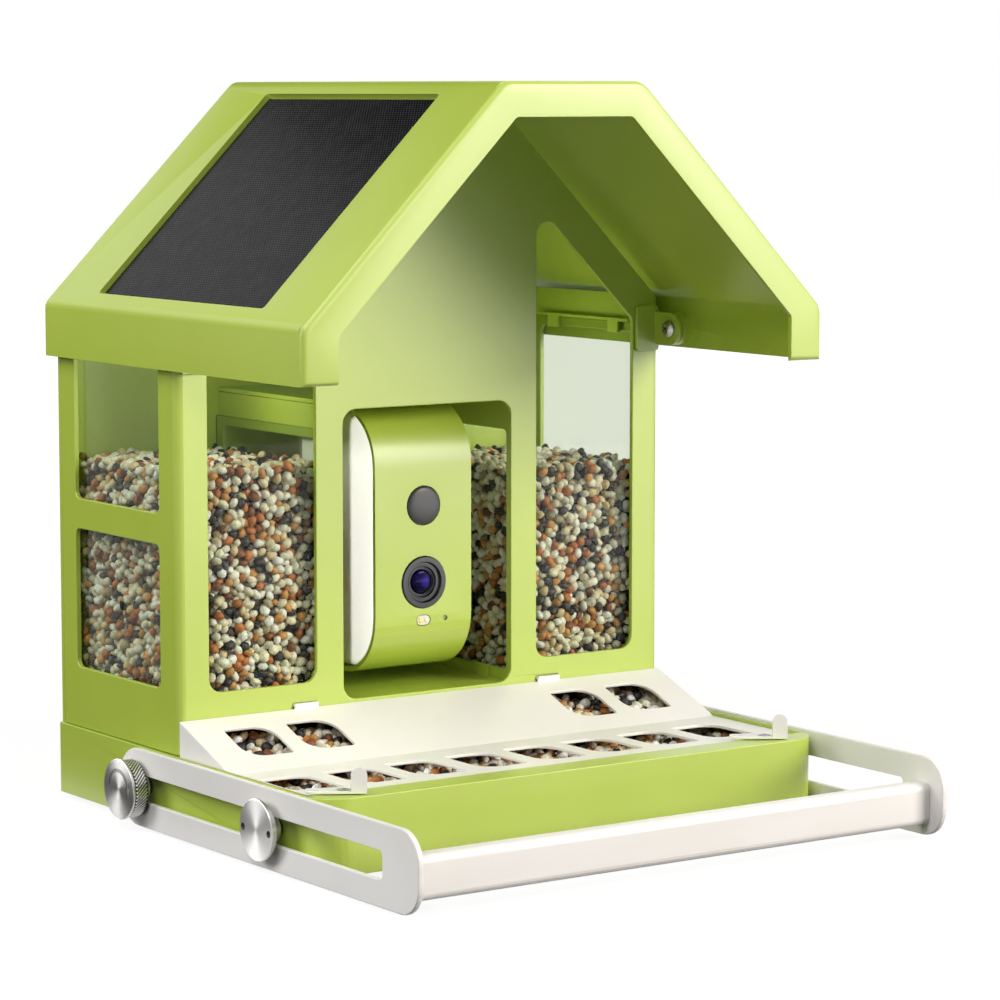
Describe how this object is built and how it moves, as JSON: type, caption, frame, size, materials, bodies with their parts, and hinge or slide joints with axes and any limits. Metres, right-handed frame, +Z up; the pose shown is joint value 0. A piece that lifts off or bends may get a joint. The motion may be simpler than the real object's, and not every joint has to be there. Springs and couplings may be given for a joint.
{
  "type": "bird feeder with camera",
  "caption": "House-shaped seed feeder with clear bins, a tilting roof with a solar panel, a camera in the middle, a covered tray and a sliding perch.",
  "frame": {"origin": "middle of the whole footprint, perch out, on the surface the feet stand on", "axes": "+X to the feeder's right as seen from the front, +Y from the perch to the back panel, +Z up"},
  "size_m": [0.326, 0.344, 0.3639],
  "materials": {
    "green_paint": "fine semi-gloss powder coat",
    "white_paint": "satin powder coat",
    "clear_pane": "clear, glossy",
    "seed": "mixed husks, matt",
    "camera_shell": "milky, satin",
    "black_plastic": "glossy",
    "lens_glass": "coated glass",
    "led_window": "translucent",
    "circuit_board": "solder mask",
    "battery_wrap": "shrink wrap",
    "solar_laminate": "black laminate, glossy",
    "rubber": "matt",
    "steel": "turned and brushed"
  },
  "bodies": {
    "feeder": {"back_panel": "green_paint", "base_pan": "green_paint", "battery_pack": "battery_wrap", "bay_ceiling": "green_paint", "bay_divider_left": "green_paint", "bay_divider_right": "green_paint", "bay_floor": "green_paint", "camera_back": "camera_shell", "camera_body": "camera_shell", "camera_cover": "green_paint", "camera_mount": "black_plastic", "camera_mount_screw": "steel", "clamp_stud_left": "steel", "clamp_stud_right": "steel", "divider_pane_left": "clear_pane", "divider_pane_right": "clear_pane", "feeding_cover": "white_paint", "front_pane_left": "clear_pane", "front_pane_right": "clear_pane", "guide_screw_left": "steel", "guide_screw_right": "steel", "hinge_bracket_left": "green_paint", "hinge_bracket_right": "green_paint", "hopper_ramp": "green_paint", "house_front_wrap": "green_paint", "latch_screw_left": "steel", "latch_screw_right": "steel", "led_window": "led_window", "lens_barrel": "black_plastic", "lens_bezel": "black_plastic", "lens_glass": "lens_glass", "main_board": "circuit_board", "pane_strip_left": "green_paint", "pane_strip_right": "green_paint", "pir_lens": "black_plastic", "rear_screw_1": "steel", "rear_screw_2": "steel", "rear_screw_3": "steel", "rear_screw_4": "steel", "rubber_foot_left": "rubber", "rubber_foot_right": "rubber", "seed_left": "seed", "seed_right": "seed", "seed_tray": "seed", "side_pane_left": "clear_pane", "side_pane_right": "clear_pane", "speaker": "black_plastic"},
    "roof": {"roof_shell": "green_paint", "solar_panel": "clear_pane", "solar_junction_box": "black_plastic", "hinge_screw_left": "steel", "hinge_screw_right": "steel"},
    "perch": {"perch_arm_left": "white_paint", "perch_arm_right": "white_paint", "perch_bar": "white_paint"},
    "knob_left": {"clamp_knob_left": "steel"},
    "knob_right": {"clamp_knob_right": "steel"},
    "latch_left": {"tray_latch_left": "white_paint"},
    "latch_right": {"tray_latch_right": "white_paint"}
  },
  "joints": [
    {"name": "roof_tilt", "type": "hinge", "parent": "feeder", "child": "roof", "pos_m": [0, 0.035, 0.2364], "axis": [1, 0, 0], "range_deg": [0, 75]},
    {"name": "perch_slide", "type": "slide", "parent": "feeder", "child": "perch", "axis": [0, 1, 0], "range_m": [0, 0.064]},
    {"name": "knob_left_turn", "type": "hinge", "parent": "feeder", "child": "knob_left", "pos_m": [-0.158, 0.0775, 0.0205], "axis": [-1, 0, 0], "continuous": true},
    {"name": "knob_right_turn", "type": "hinge", "parent": "feeder", "child": "knob_right", "pos_m": [0.158, 0.0775, 0.0205], "axis": [1, 0, 0], "continuous": true},
    {"name": "latch_left_swivel", "type": "hinge", "parent": "feeder", "child": "latch_left", "pos_m": [-0.1282, -0.073, 0.0396], "axis": [0, 0, 1], "range_deg": [-60, 90]},
    {"name": "latch_right_swivel", "type": "hinge", "parent": "feeder", "child": "latch_right", "pos_m": [0.1194, -0.073, 0.0396], "axis": [0, 0, 1], "range_deg": [-60, 90]}
  ]
}
